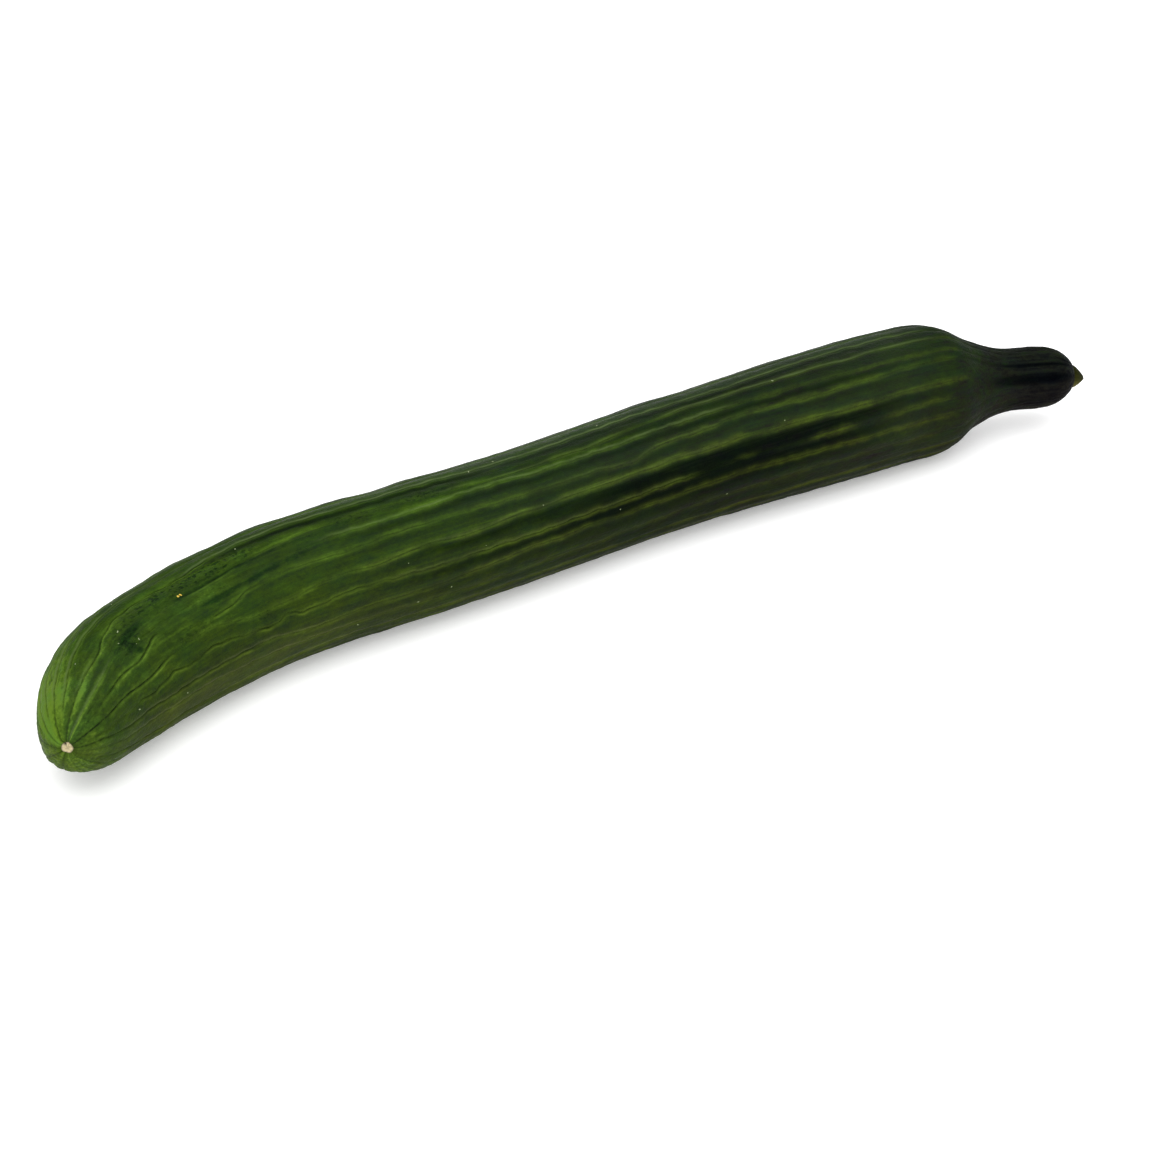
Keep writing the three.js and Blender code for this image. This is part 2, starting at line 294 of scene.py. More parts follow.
# Patches of the skin: place, degrees, half length, half width in degrees and strength. The relief is
# smoothest in the calm ones, and the dull ones have little shine.
CALM_PATCHES = ((210, -20, 140, 15, 0.9),)
# A patch of painted sheen on the lower flank near the blossom end.
PAINTED_SHEEN_PATCHES = ((60, 108, 60, 15, 0.2),)
DARK_PATCHES = (
    (35, 30, 3, 6, 0.8), (36, 37, 2, 4, 0.7), (36.5, 19, 4.5, 5, 0.7), (41, 18, 4, 4, 0.6),
    (70, 37, 10, 3, 1.1), (80, 20.5, 38, 2.6, 0.75), (87, 36, 8, 2.5, 0.7), (100, 33.5, 12, 3.5, 0.65),
    (112, 3, 40, 7, 0.35), (383, 69, 15, 6, 1.1), (386, 42, 14, 2.6, 0.9),
)
# Darkened patches: on the near flank partly darker skin and partly a painted shadow cast by another cucumber;
# painted shade in the valley under the top furrow and on the top of the shoulder; and dark bands on the neck.
DARK_BANDS_AND_PAINTED_SHADE_PATCHES = (
    (85, 1.5, 30, 3, 0.5), (215, 97, 60, 6, 0.25), (235, 68, 65, 5.5, 0.75), (235, 82, 65, 7, 0.9),
    (245, 118, 70, 12, 0.4), (255, 71, 50, 5, 0.6), (262, 89, 42, 7, 0.4), (360, 0, 10, 12, 0.35),
    (377, 290, 14, 8, 0.6), (378, 115, 14, 8, 0.5), (380, 42, 16, 3.5, 1.5), (380, 68, 16, 8, 2.2),
    (380, 170, 14, 9, 0.6), (383, 230, 12, 8, 0.8), (384, 5, 14, 4, 0.4), (385, 90, 20, 90, 0.25),
    (386, 330, 10, 7, 0.6), (393, 30, 4, 7, 0.8),
)
PITTED_PATCHES = (
    (36, 24, 7, 12, 0.8), (55, 50, 12, 7, 0.5), (56, 8, 18, 8, 1.1), (78, 10, 14, 8, 1.1),
    (82, 68, 5, 3, 0.7), (90, 250, 20, 14, 0.6), (121, 15, 7, 5, 0.9), (146, 14.5, 9, 4, 0.9),
    (233, 21, 4, 3, 0.6), (300, 200, 20, 20, 0.5),
)
# Lighter patches. Some are painted light: the wide one over the far side lifts the side that the lamps leave
# dim, and those on the far side of the blossom end partly paint the light on its lobes.
LIGHTER_AND_PAINTED_LIGHT_PATCHES = (
    (2.5, 85, 4, 45, 0.7), (4, -110, 8, 25, 0.6), (6, 180, 10, 60, 0.65), (8, -50, 16, 30, 1.3),
    (8, -22, 14, 12, 0.8), (10, -14, 12, 8, 0.4), (10, 5, 11, 5, 1.4), (14, 15, 12, 3, -0.6),
    (18, 49, 18, 3, -0.35), (20, -62, 25, 28, 0.6), (20, 30, 14, 4, -0.3), (22, -8, 16, 7, -0.1),
    (22, 41, 12, 3.5, 0.6), (24, -38, 12, 14, 0.3), (24, 9, 8, 2.5, 0.6), (33, 3, 8, 2, 0.4),
    (33, 46, 12, 6, 0.25), (35, 106, 30, 9, -0.15), (39, 43, 8, 2.5, 0.5), (54, 44, 5, 3, 0.6),
    (55, 83, 55, 13, -0.5), (60, -14, 22, 8, -0.45), (60, 3, 26, 8, 0.5), (67, 29, 9, 5, 0.6),
    (67, 50, 6, 2.5, 0.4), (72, 8, 18, 5, 0.3), (82, 12, 4, 4, 0.5), (97, 13, 14, 3, 0.6),
    (112, 13, 8, 4, 0.3), (145, 24, 13, 4.5, 0.9), (163, 18.5, 8, 3, 0.7), (170, 235, 150, 60, 0.55),
    (180, 24, 26, 3.6, 0.7), (200, -14, 70, 10, 0.2), (215, 24.5, 14, 3, 0.6), (240, -14, 115, 13, 0.5),
    (245, -8, 70, 10, 0.35),
)
DULL_PATCHES = (
    (6, 180, 12, 60, 0.6), (8, -50, 18, 30, 0.8), (25, -60, 30, 32, 1.0), (30, -22, 16, 12, 0.6),
    (38, 112, 42, 16, 0.5), (50, -10, 34, 18, 0.8), (70, 60, 75, 40, 0.5), (80, -22, 40, 14, 0.6),
    (108, 2, 42, 8, 0.8), (175, 17, 115, 9, 0.75), (280, 30, 70, 35, 0.4),
)

# The neck grows dull from the first of these places to the second. The olive side is dull by this share.
DULL_NECK = (318, 346)
DULL_BELLY = 0.7

# How light the ground colour is, from the pale blossom end to the nearly black neck, and how much lighter it
# is in the lighter patches, some of which are painted light.
TONE_PLACES = (0, 12, 45, 90, 140, 200, 280, 338, 362, 385, 402)
TONE = (0.71, 0.7, 0.71, 0.63, 0.56, 0.445, 0.365, 0.37, 0.275, 0.175, 0.15)
BRIGHTER_BY = 0.22

# The more olive side: its middle in degrees, how far it reaches and fades to each side, its strength at the
# scar and the distance from which it is whole.
BELLY = 170
BELLY_REACH = 130
BELLY_FADE = 65
BELLY_AT_SCAR = 0.5
BELLY_FROM = 28

# Kinds of surface, in the order of a piece's materials.
SKIN, SCAR, STEM = range(3)
PALE, YELLOW = range(2)

# Scurfy specks: place, degrees and radius.
YELLOW_SPECKS = ((59.9, 17.6, 0.3), (60.9, 18.4, 0.26))
PALE_SPECKS = (
    (22.5, -12, 0.17), (37, 12, 0.24), (33, 18, 0.15), (39.2, 29, 0.19), (36.9, 30.5, 0.13),
    (19.8, 77, 0.22), (48, -22, 0.17), (87, 0, 0.22), (46.2, 95, 0.17), (115, 112, 0.19),
    (135.2, 108, 0.22), (146, 103, 0.17), (165, 0, 0.19), (174, -4, 0.22), (214, -4, 0.19), (276, 13, 0.22),
    (248, 103.5, 0.19), (207, 83, 0.17), (179, 56.5, 0.17), (132, 68, 0.13), (272, 53, 0.17),
    (158, 73, 0.13), (60, -120, 0.22), (110, -75, 0.17), (150, 160, 0.19), (201, -130, 0.22),
    (243, 178, 0.17), (290, -60, 0.19),
)
# A speck is a low dome: its sides, how much longer than wide it is, its largest turn in radians, how uneven
# its outline is, its profile from the rim up as (share of the outline, height in radii), and its top.
SPECK_SIDES = 8
SPECK_STRETCH = 1.7
SPECK_TURN = 1.2
SPECK_UNEVEN = (0.6, 1.3)
SPECK_PROFILE = ((1.0, -0.12), (0.85, 0.12), (0.5, 0.24))
SPECK_RISE = 0.28
SPECK_SEED = 16


def smooth(xs, ys, x):
    """Smooth curve through the points (xs, ys), with the slope at each point taken from its neighbours."""
    xs, ys = np.asarray(xs, float), np.asarray(ys, float)
    x = np.clip(x, xs[0], xs[-1])
    span = np.diff(xs)
    slope = np.diff(ys) / span
    tangent = np.empty_like(ys)
    tangent[0], tangent[-1] = slope[0], slope[-1]
    tangent[1:-1] = (slope[:-1] * span[1:] + slope[1:] * span[:-1]) / (span[:-1] + span[1:])
    i = np.clip(np.searchsorted(xs, x) - 1, 0, len(span) - 1)
    t = (x - xs[i]) / span[i]
    start = (2 * t**3 - 3 * t**2 + 1) * ys[i] + (t**3 - 2 * t**2 + t) * span[i] * tangent[i]
    end = (3 * t**2 - 2 * t**3) * ys[i + 1] + (t**3 - t**2) * span[i] * tangent[i + 1]
    return start + end


def station_value(column, s):
    return smooth(STATIONS[:, 0], STATIONS[:, column], s)


def axis_sections(s):
    """Points of the axis at the distances s, with the directions "up" and "near" (towards -Y) there."""
    steps = np.arange(0, STATIONS[-1, 0] + AXIS_STEP / 2, AXIS_STEP)
    height = station_value(HEIGHT, steps)
    run = np.sqrt(AXIS_STEP**2 - np.diff(height) ** 2)
    heading = np.radians(station_value(HEADING, steps[:-1] + AXIS_STEP / 2))
    x = np.concatenate([[0], np.cumsum(run * np.cos(heading))])
    y = np.concatenate([[0], np.cumsum(run * np.sin(heading))])
    line = np.stack([x, y, height], axis=1)
    ahead = np.gradient(line, AXIS_STEP, axis=0)
    centre, forward = (
        np.stack([np.interp(s, steps, column) for column in rows.T], axis=1) for rows in (line, ahead)
    )
    forward /= np.linalg.norm(forward, axis=1, keepdims=True)
    near = np.stack([forward[:, 1], -forward[:, 0], 0 * s], axis=1)
    near /= np.linalg.norm(near, axis=1, keepdims=True)
    return centre, np.cross(near, forward), near


def axis_rings(places, radii, degrees):
    """Rings of points about the axis. The radii have a row for each place."""
    centre, up, near = axis_sections(places)
    around = np.radians(degrees)[..., None]
    outward = np.cos(around) * up[:, None] + np.sin(around) * near[:, None]
    return centre[:, None] + radii[..., None] * outward


def body_radius(s):
    """Radius of the smooth body, with its rounded ends."""
    blossom = np.clip(1 - s / BLOSSOM_CAP, 0, 1) ** BLOSSOM_CAP_POWER
    neck = np.clip(1 - (NECK_TIP - s) / NECK_CAP, 0, 1) ** NECK_CAP_POWER
    return station_value(RADIUS, s) * np.sqrt(1 - blossom) * np.sqrt(1 - neck)


def apart(degrees, other):
    """Signed angle from other to degrees, the short way round."""
    return (degrees - other + FULL_TURN / 2) % FULL_TURN - FULL_TURN / 2


def hump(away, width):
    """1 where away is 0, fading over about this width to each side."""
    return np.exp(-((away / width) ** 2))


def stretch(s, start, end, soft):
    """1 between start and end along the fruit, fading to 0 over the length soft inside both ends."""
    rise = np.clip((s - start) / soft, 0, 1)
    fall = np.clip((end - s) / soft, 0, 1)
    both = rise * fall
    return both * both * (3 - 2 * both)


def kinks(s, furrow):
    """A furrow's small zigzags, in degrees, seeded by its number."""
    draw = np.random.default_rng(KINK_SEED + furrow)
    total = 0 * s
    for _ in range(KINKS):
        turn = s / draw.uniform(*KINK_LENGTHS) + draw.uniform(0, 1)
        total += 2 * abs(2 * (turn % 1) - 1) - 1
    return KINK_SIZE * total / math.sqrt(KINKS)


def changes(s, lengths, seed):
    """Seeded waves along each furrow, about -1 to 1: a column for each furrow."""
    draw = np.random.default_rng(seed)
    turns = s[:, None, None] / draw.uniform(*lengths, (RIBS, CHANGES)) + draw.uniform(0, 1, (RIBS, CHANGES))
    return np.sin(2 * math.pi * turns).sum(axis=2) / math.sqrt(CHANGES)


class Skin:
    """The skin as a grid of rings (rows) and columns: where each point is and which marks it carries."""

    def __init__(self):
        self.s = self.ring_places()[:, None]
        rib = np.repeat(np.arange(RIBS), len(COLUMNS))[None]
        share = np.tile(COLUMNS, RIBS)[None]
        s = self.s[:, 0]
        lines = [smooth(*zip(*points), s) + kinks(s, furrow) for furrow, points in enumerate(FURROWS)]
        lines = np.stack(lines, axis=1)
        lines = np.concatenate([lines, lines[:, :1] + FULL_TURN], axis=1)
        width = lines[:, rib[0] + 1] - lines[:, rib[0]]
        self.degrees = lines[:, rib[0]] + share * width
        self.radius = body_radius(self.s)
        arc = np.radians(width) * self.radius
        self.rib, self.share = rib, share
        # How far round a point is from the furrow before it, from the next one and from the nearest.
        self.past = share * arc
        self.before = (1 - share) * arc
        self.nearest = np.where(share < 0.5, rib, (rib + 1) % RIBS)
        self.aside = np.minimum(self.past, self.before)
        self.out = self.radius + self.relief()

    @staticmethod
    def ring_places():
        runs = [np.arange(start, end, step) for start, end, step in RING_RUNS]
        return np.concatenate([(SCAR_RIM, *CAP_RINGS), *runs, [RING_RUNS[-1][1]]])

    def relief(self):
        """Height of the skin over the smooth body: ribs, creases, lumps, ledges and wrinkles."""
        fade = np.minimum(1, self.radius / FULL_RELIEF_RADIUS)
        bulge = smooth(RIB_PLACES, RIB_BULGE, self.s) * (4 * self.share * (1 - self.share) - RIB_MEAN)
        change = CREASE_CHANGE * np.sin(PHASE_PER_FURROW * self.nearest + self.s / CREASE_CHANGE_LENGTH)
        crease = smooth(RIB_PLACES, CREASE, self.s) * (CREASE_SHARE + change)
        crease = crease * np.exp(-self.aside / CREASE_WIDTH)
        lively = 1 - self.patches(CALM_PATCHES)
        slit = SLIT_DEPTH * self.seam_lines()
        fine = self.waves(*SWELLS) + self.waves(*PEBBLES)
        wrinkle = np.minimum(0, self.waves(*WRINKLES)) * self.pitted()
        shape = bulge - slit + wrinkle - LEDGE_DEPTH * self.ledges() + lively * (fine - crease)
        return fade * (shape + self.patches(LUMPS))

    def waves(self, height, lengths, rounds, seed):
        """A seeded sum of waves of about this height, that closes on itself round the fruit."""
        draw = np.random.default_rng(seed)
        total = np.zeros_like(self.degrees)
        for _ in range(WAVES):
            along = draw.choice((-1, 1)) / draw.uniform(*lengths)
            around = draw.integers(*rounds) / FULL_TURN
            phase = draw.uniform(0, 1)
            total += np.sin(2 * math.pi * (along * self.s + around * self.degrees + phase))
        return height * (total / math.sqrt(WAVES))

    def patches(self, table):
        """Sum of a table's soft oval patches."""
        total = np.zeros_like(self.degrees)
        for place, around, half_length, half_width, strength in table:
            far = ((self.s - place) / half_length) ** 2 + (apart(self.degrees, around) / half_width) ** 2
            total += strength * np.exp(-far)
        return total

    def along_furrows(self, table, soft, furrows=None):
        """Strength at each point of the marks in the nearest furrow, or in the furrows given."""
        here = self.nearest if furrows is None else furrows
        total = np.zeros(self.degrees.shape)
        for furrow, start, end, strength in table:
            total = np.maximum(total, (here == furrow) * strength * stretch(self.s, start, end, soft))
        return total

    def ledges(self):
        """1 in the middle of the valley just past a furrow, which is sunk and painted darker, partly as
        painted shade.
        """
        across = hump(self.past - LEDGE_PLACE, LEDGE_WIDTH)
        return across * self.along_furrows(LEDGES, LEDGE_END, self.rib)

    def changed(self, strength, lengths, mean, sway, seed):
        """The strength times a share that sways about its mean along each furrow."""
        share = np.clip(mean + sway * changes(self.s[:, 0], lengths, seed)[:, self.nearest[0]], 0, 1)
        steady = np.clip(1 - (self.s - STEADY_UP_TO) / STEADY_FADE, 0, 1)
        return strength * (share + steady * (1 - share))

    def seams(self, furrows=None):
        """Strength of the seam in the nearest furrow, or in the furrows given."""
        strength = self.along_furrows(SEAMS, SEAM_END, furrows)
        return self.changed(strength, *SEAM_CHANGES)

    def streaks(self):
        """Pale streaks that taper at their ends, with a darker line along each, and the seams' lips."""
        strength = self.along_furrows(STREAKS + far_streaks(), STREAK_END)
        strength = self.changed(strength, *STREAK_CHANGES)
        widest = np.where(self.share < 0.5, STREAK_WIDTH_PAST, STREAK_WIDTH_BEFORE)
        widening = self.widening()
        narrowing = np.minimum(1, self.radius / FULL_STREAK_RADIUS)
        width = widest * widening * narrowing * (FAINTEST_WIDTH + (1 - FAINTEST_WIDTH) * strength)
        darker = STREAK_LINE_DARKER * narrowing**2 / widening**3
        line = 1 - darker * hump(self.aside, STREAK_LINE)
        lip = np.clip(self.radius / LIP_RADIUS - 1, 0, LIP_STRENGTH) * self.seams(self.rib)
        lip = lip * hump(self.past - LIP_PLACE, LIP_WIDTH)
        return np.maximum(strength * line * hump(self.aside, width), lip)

    def widening(self):
        """How much wider the streaks and the painted sheen lines are towards the neck."""
        return smooth(WIDENING_PLACES, WIDENING, self.s)

    def painted_sheen_marks(self):
        """Painted sheen: pale highlight lines on the edge of the rib before a furrow, and patches of it."""
        strength = self.changed(self.along_furrows(PAINTED_SHEEN_LINES, PAINTED_SHEEN_END), *PAINTED_SHEEN_CHANGES)
        width = PAINTED_SHEEN_WIDTH * self.widening()
        lines = strength * (self.share > 0.5) * hump(self.before - PAINTED_SHEEN_PLACE, width)
        return lines + self.patches(PAINTED_SHEEN_PATCHES)

    def seam_lines(self):
        """The seams as thin lines, thinner still where the fruit is thin."""
        narrowing = np.minimum(1, self.radius / FULL_SLIT_RADIUS)
        width = smooth(SLIT_PLACES, SLIT_WIDTH, self.s) * narrowing
        return self.seams() * hump(self.aside, width)

    def pitted(self):
        """1 where the skin is most pitted."""
        return np.minimum(1, self.patches(PITTED_PATCHES))

    def belly(self):
        """1 on the lower side, whose colour is tinted more olive."""
        share = np.clip((BELLY_REACH - abs(apart(self.degrees, BELLY))) / BELLY_FADE, 0, 1)
        return share * np.clip(self.s / BELLY_FROM, BELLY_AT_SCAR, 1)

    def tone(self):
        ground = smooth(TONE_PLACES, TONE, self.s) + 0 * self.degrees
        # Lighter patches, some of them painted light.
        return ground + BRIGHTER_BY * self.patches(LIGHTER_AND_PAINTED_LIGHT_PATCHES)

    def dark_bands_and_painted_shade(self):
        """1 where the colour is darkened most: in the valleys past furrows, partly as painted shade; on the
        near flank, partly as a painted shadow cast by another cucumber; on the top of the shoulder as painted
        shade; and in dark bands on the neck.
        """
        return np.minimum(1, LEDGE_DARKER_AND_PAINTED_SHADE * self.ledges() + self.patches(DARK_BANDS_AND_PAINTED_SHADE_PATCHES))

    def dull(self):
        """1 where the skin has the least shine."""
        neck = np.clip((self.s - DULL_NECK[0]) / (DULL_NECK[1] - DULL_NECK[0]), 0, 1)
        return np.minimum(1, neck + DULL_BELLY * self.belly() + self.patches(DULL_PATCHES))

    def marks(self):
        """What the skin's material reads at each point."""
        return {
            "tone": self.tone(),
            "dark_bands_and_painted_shade": self.dark_bands_and_painted_shade(),
            "dull": self.dull(),
            "streak": self.streaks(),
            "seam": self.seam_lines(),
            "painted_sheen": self.painted_sheen_marks(),
            "pitted": self.pitted(),
            "blotched": self.patches(DARK_PATCHES),
            "belly": self.belly(),
            "upward": 0.5 + 0.5 * np.cos(np.radians(self.degrees)),
            "grown": self.straightened(),
        }

    def points(self):
        """The points in millimetres, from the start of the axis."""
        place = axis_rings(self.s[:, 0], self.out, self.degrees)
        place[..., 2] = np.maximum(place[..., 2], 0)
        return place

    def straightened(self):
        """The points on a straightened fruit, for patterns that run along it."""
        around = np.radians(self.degrees)
        return np.stack([self.s + 0 * around, self.out * np.cos(around), self.out * np.sin(around)], axis=-1)


def far_streaks():
    """Streaks by a seeded rule, for the furrows of the lower and the far side."""
    draw = np.random.default_rng(FAR_SEED)
    table = []
    for furrow in FAR_FURROWS:
        place = draw.uniform(*FAR_FROM)
        table.append((furrow, place, FAR_END, FAR_FAINT))
        while place < FAR_END:
            end = min(place + draw.uniform(*FAR_RUN), FAR_END)
            table.append((furrow, place, end, draw.uniform(*FAR_STRENGTH)))
            place = end + draw.uniform(*FAR_GAP)
    return tuple(table)


def grid_faces(first, rows, columns):
    """Quads of a closed tube whose rings start at vertex number first."""
    i, j = np.meshgrid(np.arange(rows - 1), np.arange(columns), indexing="ij")
    here = first + i * columns + j
    beside = first + i * columns + (j + 1) % columns
    return np.stack([here, beside, beside + columns, here + columns], axis=-1).reshape(-1, 4)


def cap_faces(tip, first, columns, outward):
    """Triangles from the point tip to the ring that starts at vertex number first."""
    at = np.arange(columns)
    sides = (at, (at + 1) % columns)
    here, beside = sides if outward else sides[::-1]
    return np.stack([np.full(columns, tip), first + here, first + beside], axis=-1)


def scar_rings(degrees):
    """The corky disc of the scar, from its middle out to its rim, and how dark each point of it is."""
    draw = np.random.default_rng(SCAR_SEED)
    place = np.array([SCAR_RIM + SCAR_SUNK])
    rings = axis_rings(place, np.array(SCAR_RINGS)[:, None], degrees)
    centre, up, near = axis_sections(place)
    forward = np.cross(up, near)
    around = np.radians(degrees)[:, None]
    uneven = 1 + sum(size * np.sin(count * around + phase) for count, size, phase in SCAR_OUTLINE)
    rings = centre + uneven * (rings - centre)
    rough = draw.uniform(-SCAR_ROUGHNESS, SCAR_ROUGHNESS, rings.shape[:2])
    notch = hump(apart(degrees, SCAR_NOTCH), SCAR_NOTCH_WIDTH) * np.array(SCAR_NOTCH_SHARES)[:, None]
    rings = rings + (rough + SCAR_NOTCH_DEPTH * notch)[..., None] * forward
    dark = np.maximum(notch, np.array(SCAR_DARKNESS)[:, None])
    return rings[::-1], dark[::-1]


def stub_rings(degrees):
    """The tapering stub with its slanting cut, and 1 for each of its points that lies on the cut."""
    places, radii, drops = np.array(STUB).T
    rings = axis_rings(places, radii[:, None], degrees)
    rings = rings - drops[:, None, None] * axis_sections(places)[1][:, None]
    at, up, near = axis_sections(np.array([CUT_PLACE]))
    forward = np.cross(up, near)[0]
    facing = CUT_FACING[0] * forward - CUT_FACING[1] * up[0] + CUT_FACING[2] * near[0]
    cut_at = at[0] - STUB_TIP_DROP * up[0]
    beyond = np.maximum(0, (rings - cut_at) @ facing)
    return rings - (beyond / (forward @ facing))[..., None] * forward, beyond > 0


def scene_object(name, data):
    made = bpy.data.objects.new(name, data)
    bpy.context.scene.collection.objects.link(made)
    return made


def new_object(name, points, faces, materials, kinds):
    """A smooth mesh object from points in millimetres, with the number of each face's material."""
    mesh = bpy.data.meshes.new(name)
    mesh.from_pydata((np.asarray(points) * MM).tolist(), [], [tuple(face) for face in faces])
    for material in materials:
        mesh.materials.append(material)
    mesh.polygons.foreach_set("use_smooth", [True] * len(mesh.polygons))
    mesh.polygons.foreach_set("material_index", np.array(kinds, np.int32))
    return scene_object(name, mesh)


def put_mark(mesh, name, values):
    """Stores a number or a place for each point of the mesh under a name that its material reads."""
    kind, field = ("FLOAT_VECTOR", "vector") if values.ndim > 1 else ("FLOAT", "value")
    made = mesh.attributes.new(name, kind, "POINT")
    made.data.foreach_set(field, values.ravel().astype(np.float32))


def put_marks(mesh, skin, is_dark, is_cut):
    """Stores the marks of each point of the fruit. The scar and the stub take those of the skin next to them.

    The mark "cut" is 1 on the brown cork of the scar and on the cut of the stub.
    """
    for name, values in skin.marks().items():
        ends = ((len(is_dark), len(is_cut)), *[(0, 0)] * (values.ndim - 1))
        whole = np.pad(values, ends, mode="edge").reshape(-1, *values.shape[2:])
        put_mark(mesh, name, np.concatenate([whole[:1], whole, whole[-1:]]))
    cut = np.concatenate([is_dark, np.zeros(skin.degrees.shape), is_cut])
    put_mark(mesh, "cut", np.concatenate([[0], cut.ravel(), [cut[-1].mean()]]))


def fruit(skin, materials):
    """The whole fruit as one closed mesh, with the marks that its materials read."""
    columns = skin.degrees.shape[1]
    scar, is_dark = scar_rings(skin.degrees[0])
    stub, is_cut = stub_rings(skin.degrees[-1])
    rings = np.concatenate([scar, skin.points(), stub])
    start = scar[0].mean(axis=0, keepdims=True)
    tip, tip_up, _ = axis_sections(np.array([STUB_TIP]))
    end = tip - STUB_TIP_DROP * tip_up
    points = np.concatenate([start, rings.reshape(-1, 3), end])
    tube = grid_faces(1, len(rings), columns)
    first_cap = cap_faces(0, 1, columns, outward=False)
    last_cap = cap_faces(len(points) - 1, len(points) - 1 - columns, columns, outward=True)
    faces = [*tube.tolist(), *first_cap.tolist(), *last_cap.tolist()]
    rows = [SCAR] * (len(scar) - 1) + [SKIN] * len(skin.s) + [STEM] * len(stub) + [SCAR, STEM]
    made = new_object("cucumber_fruit", points, faces, materials, np.repeat(rows, columns))
    put_marks(made.data, skin, is_dark, is_cut)
    return made


def skin_directions(skin, grid, place, around):
    """The skin's point nearest to a place, and the directions along the fruit and outward there."""
    i = int(np.argmin(abs(skin.s[:, 0] - place)))
    j = int(np.argmin(abs(apart(skin.degrees[i], around))))
    along = grid[i + 1, j] - grid[i - 1, j]
    across = grid[i, (j + 1) % grid.shape[1]] - grid[i, j - 1]
    along /= np.linalg.norm(along)
    outward = np.cross(across, along)
    outward /= np.linalg.norm(outward)
    return grid[i, j], along, outward


def specks(skin, materials):
    """Low uneven domes of pale and yellow scurf, scattered over the skin."""
    draw = np.random.default_rng(SPECK_SEED)
    grid = skin.points()
    points, faces = [], []
    turn = np.linspace(0, 2 * math.pi, SPECK_SIDES, endpoint=False)
    rows = len(SPECK_PROFILE)
    for place, around, radius in YELLOW_SPECKS + PALE_SPECKS:
        centre, along, outward = skin_directions(skin, grid, place, around)
        turned = draw.uniform(-SPECK_TURN, SPECK_TURN)
        along = np.cos(turned) * along + np.sin(turned) * np.cross(along, outward)
        across = np.cross(along, outward)
        reach = radius * draw.uniform(*SPECK_UNEVEN, SPECK_SIDES)
        first = len(points)
        for share, rise in SPECK_PROFILE:
            for a, far in zip(turn, reach):
                flat = np.cos(a) * along * SPECK_STRETCH + np.sin(a) * across
                points.append(centre + share * far * flat + rise * radius * outward)
        points.append(centre + SPECK_RISE * radius * outward)
        # A speck's rings run the other way round from the fruit's, so its faces are turned to face outward.
        faces += grid_faces(first, rows, SPECK_SIDES)[:, ::-1].tolist()
        last_ring = first + (rows - 1) * SPECK_SIDES
        faces += cap_faces(len(points) - 1, last_ring, SPECK_SIDES, outward=False).tolist()
    kinds = [YELLOW] * len(YELLOW_SPECKS) + [PALE] * len(PALE_SPECKS)
    kinds = np.repeat(kinds, len(faces) // len(kinds))
    return new_object("scurf_specks", points, faces, materials, kinds)


def middle(low, high):
    """The point midway between two corners, on the floor."""
    return Vector(((low[0] + high[0]) / 2, (low[1] + high[1]) / 2, 0))


def frame_shift(body):
    """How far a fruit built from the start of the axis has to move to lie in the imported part's place."""
    places = np.array([vertex.co for vertex in body.data.vertices])
    return middle(*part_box("cucumber")) - middle(places.min(axis=0), places.max(axis=0))


# Materials. Colours are linear.

# The ground's colours run from the nearly black neck to the pale blossom end.
GROUND = (
    (0.0, (0.0010, 0.0007, 0.0018)),
    (0.15, (0.0046, 0.0054, 0.0038)),
    (0.24, (0.0082, 0.0098, 0.0056)),
    (0.33, (0.0082, 0.0142, 0.0045)),
    (0.5, (0.0105, 0.0220, 0.0042)),
    (0.7, (0.0195, 0.0405, 0.0030)),
    (0.85, (0.034, 0.068, 0.0050)),
    (1.0, (0.080, 0.142, 0.012)),
)
STREAK_COLOURS = (
    (0.1, (0.005, 0.008, 0.004)),
    (0.35, (0.037, 0.059, 0.006)),
    (0.5, (0.046, 0.080, 0.008)),
    (0.7, (0.058, 0.115, 0.010)),
    (1.0, (0.12, 0.20, 0.022)),
)
# The pale colour of the painted sheen lines and patches.
PAINTED_SHEEN_COLOUR = (0.070, 0.102, 0.036)
SEAM_COLOUR = (0.006, 0.013, 0.002)
# Tints multiply the colour below them.
BLUER_TINT = (0.82, 0.98, 1.35)
BELLY_TINT = (1.25, 0.9, 1.15)
# This tint darkens the dark bands and the painted shade and shadow.
DARK_BANDS_AND_PAINTED_SHADE_TINT = (0.20, 0.24, 0.36)
BLOTCH_TINT = (0.36, 0.52, 0.62)
PIT_TINT = (0.26, 0.38, 0.42)
# The skin's shine from bright to dull, and its roughness over the mottling between these two values.
SKIN_SHINE = (0.05, 0.008)
SKIN_ROUGHNESS = (0.42, 0.56)
ROUGHNESS_SPREAD = (0.3, 0.7)

# Noise on the skin: the length and width of its grains, and any detail and roughness of its own.
SKIN_NOISES = {
    "drift": (22, 9), "blur": (7, 3.2), "streaky": (24, 0.9, 4), "fibre": (9, 0.4), "mottle": (2.4, 1.3),
    "grain": (0.7, 0.5, 2), "bluer": (9, 4), "blotch": (2.6, 1.8, 5, 0.7), "pit": (1.6, 1.0, 2),
}
# How far noises sway the lightness of the ground, the share of a streak and the edge of a dark patch.
GROUND_SWAYS = {"drift": 0.14, "blur": 0.14, "streaky": 0.2, "mottle": 0.13, "grain": 0.1}
STREAK_SHARE = 0.9
STREAK_SWAYS = {"fibre": 0.55, "mottle": 0.35, "streaky": 0.4}
BLOTCH_SWAYS = {"blotch": 0.6}
# The fine relief's depth, and the parts of noises in it.
RELIEF_DEPTH = 0.4
RELIEF_PARTS = {"grain": 0.5, "mottle": 1.0, "streaky": 0.6}
PIT_PART = 3.0
